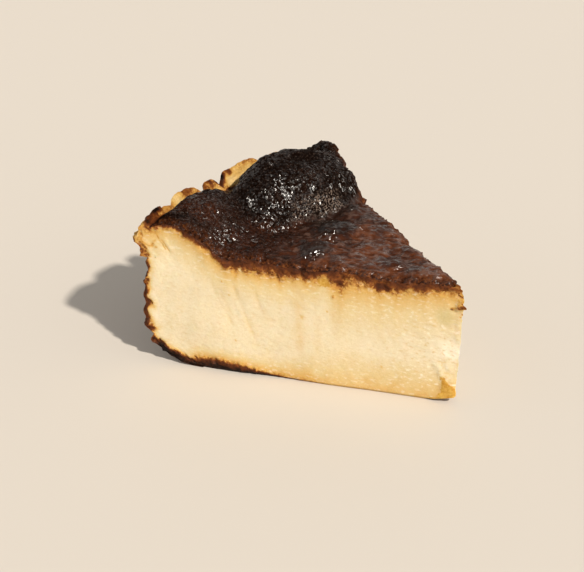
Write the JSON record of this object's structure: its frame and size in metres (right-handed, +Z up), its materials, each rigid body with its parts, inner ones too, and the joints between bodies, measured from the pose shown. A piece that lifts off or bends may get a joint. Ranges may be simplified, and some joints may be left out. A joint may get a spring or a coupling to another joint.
{
  "type": "slice of basque cheesecake",
  "caption": "Wedge of burnt cheesecake with a pale custard cut face, a blistered dark top crust and a scalloped rim, resting flat on its base.",
  "frame": {"origin": "middle of the slice's bounding box, on the flat base", "axes": "+X from the rim towards the tip along the slice's middle line, +Z up, the cut face shown in the picture on the -Y side"},
  "size_m": [0.1026, 0.091, 0.0572],
  "materials": {
    "baked_custard": "moist matt custard with a dark, faintly glossy burnt crust"
  },
  "bodies": {
    "root": {"cheesecake_slice": "baked_custard"}
  },
  "joints": []
}
